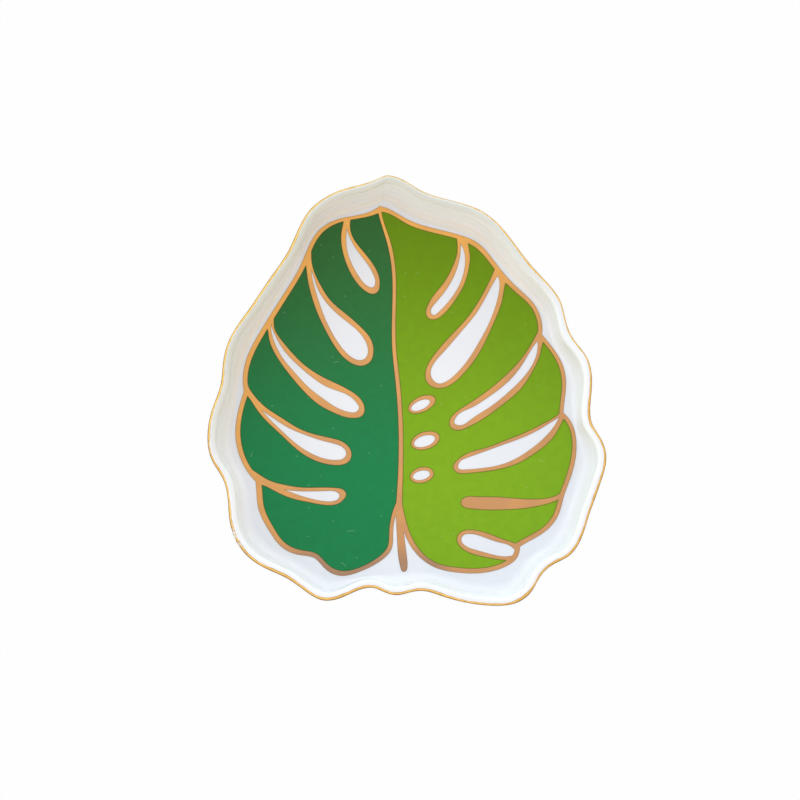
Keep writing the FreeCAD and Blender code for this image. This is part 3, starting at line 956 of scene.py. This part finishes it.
@dataclass
class LeafPrint:
    """The leaf on the floor of the dish: gold lines, and the two enamels between them."""

    gold_rounding: float = 0.3 * MM
    gold_edge_share: float = 0.45
    enamel_rounding: float = 0.2 * MM
    enamel_edge_share: float = 0.5
    height_share: float = 0.5
    joint_gap: float = 0.07 * MM

    def build(self, gold: PrintGoldFinish, enamels: dict[Slot, EnamelFinish]) -> list[bpy.types.Object]:
        """Make every piece of the print.

        Args:
            gold: The finish of the lines.
            enamels: The finishes of the two fields.

        Returns:
            The new objects.
        """
        slots = {row["node"]: row["material_slot"] for row in frame["record"]["subparts"]}
        gold_sizes = (self.gold_rounding, self.gold_edge_share, self.height_share)
        lines = [
            PrintedField(node, Slot.PRINT_GOLD, *gold_sizes)
            for node in sorted(slots) if slots[node] == Slot.PRINT_GOLD.value
        ]
        free = self.free_edges(lines)
        gold_material = gold.material()
        pieces = [dressed(line.build(free), gold_material) for line in lines]
        enamel_sizes = (self.enamel_rounding, self.enamel_edge_share, self.height_share)
        for node, slot in sorted(slots.items()):
            if slot in (Slot.DARK_GREEN.value, Slot.LIGHT_GREEN.value):
                enamel = PrintedField(node, Slot(slot), *enamel_sizes)
                edges = tree_of(enamel.samples(OUTLINE_STEP))
                pieces.append(dressed(enamel.build(edges), enamels[Slot(slot)].material()))
        return pieces

    def free_edges(self, lines: list[PrintedField]) -> KDTree:
        """The edges of the gold that don't butt against other gold, so that joined lines share a crown.

        Args:
            lines: All gold lines.

        Returns:
            A search tree over places along those edges.
        """
        rows = [line.samples(OUTLINE_STEP) for line in lines]
        trees = [tree_of(row) for row in rows]
        kept = []
        for i, row in enumerate(rows):
            low, high = row.min(axis=0) - self.joint_gap, row.max(axis=0) + self.joint_gap
            free = np.ones(len(row), dtype=bool)
            for j, other in enumerate(rows):
                if j != i and (other.min(axis=0) < high).all() and (other.max(axis=0) > low).all():
                    free &= distances(row, trees[j]) > self.joint_gap
            kept.append(row[free])
        return tree_of(np.vstack(kept))


@dataclass(frozen=True)
class BrushMark:
    """A place on the lip where the line is wider or narrower, or where it has worn."""

    x: float
    y: float
    reach: float
    extra_width: float = 0.0
    wear: float = 0.0


@dataclass
class LipGilding:
    """The gold line brushed by hand along the outside of the lip."""

    node: str = "lip_gilding"
    lip_radius: float = 1.2 * MM
    line_width: float = 0.72 * MM
    wobble: float = 0.1 * MM
    thickness: float = 0.05 * MM
    sunk: float = 0.02 * MM
    start_angle: float = math.radians(-14)
    station_step: float = 0.25 * MM
    steps_across: int = 12
    smoothing_passes: int = 4
    furthest_cosine: float = -0.2
    waves: tuple[tuple[int, float, float], ...] = (
        (3, 0.5, 0.4), (8, 0.5, 1.9), (17, 0.45, 4.1), (31, 0.4, 2.6), (67, 0.3, 0.9), (118, 0.25, 5.2),
    )
    marks: tuple[BrushMark, ...] = (
        BrushMark(2 * MM, 59 * MM, 42 * MM, extra_width=-0.38 * MM),
        BrushMark(48 * MM, 18 * MM, 28 * MM, extra_width=-0.2 * MM),
        BrushMark(33 * MM, -58 * MM, 5 * MM, extra_width=0.3 * MM),
        BrushMark(-20 * MM, -58 * MM, 6 * MM, extra_width=0.25 * MM),
        BrushMark(-47 * MM, -41 * MM, 7 * MM, extra_width=0.15 * MM, wear=1.0),
        BrushMark(-55 * MM, -17 * MM, 6 * MM, extra_width=-0.1 * MM, wear=0.5),
    )

    def build(self, finish: GildingFinish) -> bpy.types.Object:
        """Make the line along the lip.

        Args:
            finish: Its finish.

        Returns:
            The new object.
        """
        loops = flat_loops(self.node, top=False)
        outline = max(loops, key=lambda loop: np.ptp(loop[:, 0]))
        outline = evenly_spaced(outline, self.station_step)
        outward = -left_normals(outline)
        for _ in range(self.smoothing_passes):
            outward = (np.roll(outward, 1, axis=0) + 2 * outward + np.roll(outward, -1, axis=0)) / 4
        outward /= np.linalg.norm(outward, axis=1, keepdims=True)
        points, triangles = mesh_arrays(frame["nodes"]["clear_glaze"].data)
        surface = BVHTree.FromPolygons(points.tolist(), triangles.tolist())
        crest = points[:, 2].max()
        rows, wear = [], []
        turns = np.arange(len(outline)) / len(outline) * 2 * math.pi
        for (x, y), (nx, ny), turn in zip(outline, outward, turns):
            width, worn = self.brushed(x, y, turn)
            end = math.acos(max(self.furthest_cosine, 1 - width / self.lip_radius))
            away = Vector((nx, ny, 0.0))
            centre = Vector((x, y, 0.0)) - away * self.lip_radius
            centre.z = crest - self.lip_radius
            rows.append(self.section(surface, centre, away, end))
            wear.append(worn)
        return self.strip(np.array(rows), np.array(wear), finish)

    def brushed(self, x: float, y: float, turn: float) -> tuple[float, float]:
        """The width and the wear of the line at one place.

        Args:
            x: The place.
            y: The place.
            turn: How far round the lip it is, as an angle.

        Returns:
            Both.
        """
        waver = sum(size * math.sin(count * turn + phase) for count, size, phase in self.waves)
        width = self.line_width + self.wobble * waver
        worn = 0.0
        for mark in self.marks:
            near = max(0.0, 1 - math.hypot(x - mark.x, y - mark.y) / mark.reach)
            eased = near * near * (3 - 2 * near)
            width += mark.extra_width * eased
            worn = max(worn, mark.wear * eased)
        return width, worn

    def section(self, surface: BVHTree, centre: Vector, outward: Vector, end: float) -> list:
        """The points across the line at one place, first on its face and then back below it.

        Args:
            surface: The glaze.
            centre: The middle of the lip's round.
            outward: The direction away from the dish.
            end: The angle at which the line ends, over the lip.

        Returns:
            Rows of x, y, z.
        """
        face, under = [], []
        for i in range(self.steps_across + 1):
            share = i / self.steps_across
            angle = self.start_angle + (end - self.start_angle) * share
            ray = outward * math.cos(angle) + Vector((0, 0, math.sin(angle)))
            # The ray starts well outside the lip and looks back at its middle.
            hit = surface.ray_cast(centre + ray * self.lip_radius * 3, -ray)[0]
            spot = hit if hit is not None else centre + ray * self.lip_radius
            body = 1 - (2 * share - 1) ** 4
            face.append(spot + ray * (self.thickness * body + self.sunk * 0.2))
            under.append(spot - ray * self.sunk)
        return [list(p) for p in face + under[::-1]]

    def strip(self, rows: np.ndarray, wear: np.ndarray, finish: GildingFinish) -> bpy.types.Object:
        """Join the sections into one closed strip.

        Args:
            rows: The points of each section.
            wear: The wear at each section.
            finish: The line's finish.

        Returns:
            The new object.
        """
        count, width = rows.shape[:2]
        faces = []
        for i in range(count):
            here, there = i * width, (i + 1) % count * width
            for k in range(width):
                beyond = (k + 1) % width
                faces.append((here + k, there + k, there + beyond, here + beyond))
        shares = np.linspace(0.0, 1.0, self.steps_across + 1)
        across = np.tile(np.concatenate([shares, shares[::-1]]), count)
        numbers = {ACROSS: across, WEAR: np.repeat(wear, width)}
        points = rows.reshape(-1, 3)
        piece = place_piece("lip_gilding_line", points, faces, numbers, self.node)
        return dressed(piece, finish.material())


@dataclass
class GlazedDish:
    """The porcelain body and its glaze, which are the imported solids."""

    glaze: GlazeFinish = GlazeFinish()
    biscuit: BiscuitFinish = BiscuitFinish()

    def dress(self) -> None:
        """Give both solids their finish."""
        for node, finish in (("clear_glaze", self.glaze), ("porcelain_body", self.biscuit)):
            material = finish.material()
            for slot in frame["nodes"][node].material_slots:
                slot.material = material
            log.info("%s: %s", node, material.name)


@dataclass
class Studio:
    """A white floor, cool daylight from the upper left, a warmer room and a long lens almost above."""

    image_pixels: float = 800
    focal_length: float = 200
    sensor_width: float = 36
    view_width: float = 223.0 * MM
    dish_pixel: tuple[float, float] = (407.3, 388.9)
    tilt_to_stalk: float = math.radians(6)
    tilt_to_left: float = math.radians(1.8)
    floor_half: float = 3.0
    floor_white: float = 0.985
    floor_matt: Colour = (0.4, 0.4, 0.4)
    window_side: tuple[float, float] = (-0.3, 0.954)
    daylight: Colour = (2.25, 2.5, 2.62)
    room: Colour = (1.93, 1.79, 1.62)
    far_side: Colour = (1.5, 1.3, 1.0)
    overhead: Colour = (0.73, 0.73, 0.78)
    below: Colour = (0.55, 0.55, 0.54)
    far_band: Band = (-0.1, 0.7)
    window_band: Band = (-0.25, 0.7)
    overhead_band: Band = (0.25, 0.85)
    horizon_band: Band = (-0.04, 0.0)
    key_place: tuple[float, float, float] = (-0.5, 0.75, 0.9)
    key_size: float = 0.25
    key_power: float = 0.35
    key_colour: Colour = (1.0, 0.99, 0.97)

    def build(self) -> None:
        """Make the floor, the lights and the camera."""
        bpy.context.scene.view_settings.view_transform = "Standard"
        self.floor()
        self.sky()
        self.key_light()
        self.camera()
        log.info("studio: floor, sky, soft box and camera")

    def floor(self) -> None:
        """A wide floor that shows as white, takes a faint shadow and lets light from below through."""
        half = self.floor_half
        mesh = bpy.data.meshes.new("floor")
        corners = [(-half, -half, 0), (half, -half, 0), (half, half, 0), (-half, half, 0)]
        mesh.from_pydata(corners, [], [(0, 1, 2, 3)])
        floor = bpy.data.objects.new("floor", mesh)
        bpy.context.scene.collection.objects.link(floor)
        material, shader = new_material("white_floor")
        matt = shader.node("ShaderNodeBsdfDiffuse", inputs={"Color": self.floor_matt})
        white = shader.node("ShaderNodeEmission", inputs={"Color": WHITE, "Strength": 1.0})
        seen = self.rays(shader, "Is Camera Ray", "Is Glossy Ray", "Is Transmission Ray")
        shown = seen * self.floor_white
        lit = shader.node("ShaderNodeMixShader", inputs={0: shown, 1: matt, 2: white})
        clear = shader.node("ShaderNodeBsdfTransparent")
        back = shader.node("ShaderNodeNewGeometry", output="Backfacing")
        through = back.most(self.rays(shader, "Is Diffuse Ray", "Is Shadow Ray"))
        surface = shader.node("ShaderNodeMixShader", inputs={0: through, 1: lit, 2: clear})
        shader.node("ShaderNodeOutputMaterial", inputs={"Surface": surface})
        floor.data.materials.append(material)

    def rays(self, shader: Shader, *kinds: str) -> Value:
        """1 for rays of any of some kinds.

        Args:
            shader: The tree.
            kinds: The names of the kinds, as the light path has them.

        Returns:
            1 for those rays and 0 for others.
        """
        path = shader.node("ShaderNodeLightPath").socket.node.outputs
        found = Value(shader, path[kinds[0]])
        for kind in kinds[1:]:
            found = found.most(Value(shader, path[kind]))
        return found

    def sky(self) -> None:
        """Soft light from all round: cool from the window's side, warmer from the room, dimmer overhead."""
        world = bpy.data.worlds.new("studio")
        bpy.context.scene.world = world
        world.use_nodes = True
        shader = Shader(world.node_tree)
        x, y, z = shader.parts(shader.node("ShaderNodeTexCoord", output="Generated"))
        across, along = self.window_side
        to_window = x * across + y * along
        low = shader.mix(self.room, self.far_side, x.rising(*self.far_band))
        low = shader.mix(low, self.daylight, to_window.rising(*self.window_band))
        colour = shader.mix(low, self.overhead, z.rising(*self.overhead_band))
        colour = shader.mix(self.below, colour, z.rising(*self.horizon_band))
        soft = shader.node("ShaderNodeBackground", inputs={"Color": colour, "Strength": 1.0})
        white = shader.node("ShaderNodeBackground", inputs={"Color": WHITE, "Strength": 1.0})
        seen = self.rays(shader, "Is Camera Ray")
        surface = shader.node("ShaderNodeMixShader", inputs={0: seen, 1: soft, 2: white})
        shader.node("ShaderNodeOutputWorld", inputs={"Surface": surface})

    def key_light(self) -> None:
        """A soft box at the upper left."""
        data = bpy.data.lights.new("soft_box", "AREA")
        data.shape = "DISK"
        data.size = self.key_size
        data.energy = self.key_power
        data.color = self.key_colour
        light = bpy.data.objects.new("soft_box", data)
        light.location = self.key_place
        light.rotation_euler = (-Vector(self.key_place)).to_track_quat("-Z", "Y").to_euler()
        bpy.context.scene.collection.objects.link(light)

    def camera(self) -> None:
        """A camera that sees the dish where the photograph does, with the leaf's tip up."""
        pixel = self.view_width / self.image_pixels
        middle = self.image_pixels / 2
        x, y = self.dish_pixel
        aim = Vector(((middle - x) * pixel, (y - middle) * pixel, cad_box[1].z))
        away = Vector((-math.sin(self.tilt_to_left), -math.sin(self.tilt_to_stalk), 0.0))
        away.z = math.sqrt(1 - away.length_squared)
        right = Vector((0, 1, 0)).cross(away).normalized()
        up = away.cross(right)
        data = bpy.data.cameras.new("camera")
        data.lens = self.focal_length
        data.sensor_width = self.sensor_width
        data.sensor_fit = "HORIZONTAL"
        camera = bpy.data.objects.new("camera", data)
        distance = self.view_width * self.focal_length / self.sensor_width
        turn = Matrix((right, up, away)).transposed().to_4x4()
        camera.matrix_world = Matrix.Translation(aim + away * distance) @ turn
        bpy.context.scene.collection.objects.link(camera)
        bpy.context.scene.camera = camera


DARK_GREEN = EnamelFinish(
    name="dark_green_enamel",
    towards_stalk=(0.014, 0.224, 0.071),
    towards_tip=(0.036, 0.149, 0.035),
    edge=(0.012, 0.075, 0.018),
    fleck=(0.3, 0.5, 0.35),
    scratches=(
        Scratch(-43.4 * MM, -17.3 * MM, 1.6 * MM, math.radians(70)),
        Scratch(-15.5 * MM, -38.7 * MM, 2.4 * MM, math.radians(5)),
        Scratch(-17.5 * MM, -48.0 * MM, 2.2 * MM, math.radians(-35)),
        Scratch(-19.7 * MM, 9.0 * MM, 1.8 * MM, math.radians(15)),
    ),
)
LIGHT_GREEN = EnamelFinish(
    name="light_green_enamel",
    towards_stalk=(0.222, 0.425, 0.014),
    towards_tip=(0.15, 0.285, 0.004),
    edge=(0.09, 0.13, 0.008),
    fleck=(0.5, 0.6, 0.3),
    scratches=(
        Scratch(38.2 * MM, -18.7 * MM, 2.0 * MM, math.radians(-20)),
        Scratch(33.2 * MM, -41.8 * MM, 1.5 * MM, math.radians(60)),
        Scratch(18.2 * MM, -49.3 * MM, 1.6 * MM, math.radians(10)),
    ),
)


def main() -> None:
    """Build the dish and its studio."""
    logging.basicConfig(level=logging.INFO, format="%(name)s: %(message)s")
    GlazedDish().dress()
    LeafPrint().build(PrintGoldFinish(), {Slot.DARK_GREEN: DARK_GREEN, Slot.LIGHT_GREEN: LIGHT_GREEN})
    LipGilding().build(GildingFinish())
    Studio().build()


if __name__ == "__main__":
    main()
